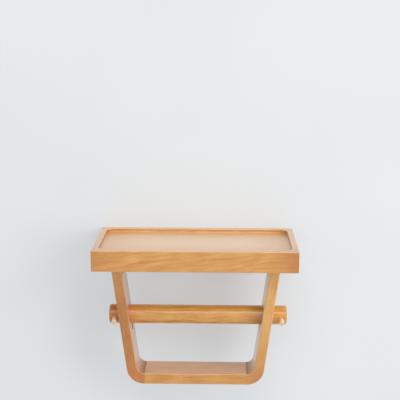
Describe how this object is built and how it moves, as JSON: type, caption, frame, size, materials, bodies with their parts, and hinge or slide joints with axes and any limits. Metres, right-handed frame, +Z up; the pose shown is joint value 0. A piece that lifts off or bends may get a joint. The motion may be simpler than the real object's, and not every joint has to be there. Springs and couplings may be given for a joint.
{
  "type": "toilet roll holder",
  "caption": "Wall-hung beech toilet roll holder: a shallow shelf tray over a tapering frame, with a dowel rod whose cross pegs lock it in the keyholed legs.",
  "frame": {"origin": "middle of the tray's back face, which lies on the wall", "axes": "+Y into the wall, +X to the right as seen from the front, +Z up"},
  "size_m": [0.23, 0.115, 0.1702],
  "materials": {
    "tray_wood": "satin lacquered beech",
    "frame_wood": "satin lacquered beech",
    "rod_wood": "satin lacquered beech dowel",
    "peg_wood": "beech dowel",
    "dowel_wood": "plain beech dowel",
    "plate_steel": "zinc plated pressed steel",
    "screw_steel": "zinc plated steel"
  },
  "bodies": {
    "holder": {"tray": "tray_wood", "top_rail": "frame_wood", "bottom_rail": "frame_wood", "left_leg": "frame_wood", "right_leg": "frame_wood", "left_bottom_dowel_front": "dowel_wood", "left_bottom_dowel_back": "dowel_wood", "right_bottom_dowel_front": "dowel_wood", "right_bottom_dowel_back": "dowel_wood", "left_top_dowel_front": "dowel_wood", "left_top_dowel_back": "dowel_wood", "right_top_dowel_front": "dowel_wood", "right_top_dowel_back": "dowel_wood", "left_frame_screw_front": "screw_steel", "left_frame_screw_back": "screw_steel", "right_frame_screw_front": "screw_steel", "right_frame_screw_back": "screw_steel", "left_hanger_plate": "plate_steel", "right_hanger_plate": "plate_steel", "left_hanger_screw_left": "screw_steel", "left_hanger_screw_right": "screw_steel", "right_hanger_screw_left": "screw_steel", "right_hanger_screw_right": "screw_steel"},
    "rod": {"roll_rod": "rod_wood", "left_peg": "peg_wood", "right_peg": "peg_wood"}
  },
  "joints": [
    {"name": "rod_turn", "type": "hinge", "parent": "holder", "child": "rod", "pos_m": [0.0025, -0.057, -0.079], "axis": [1, 0, 0], "continuous": true}
  ]
}
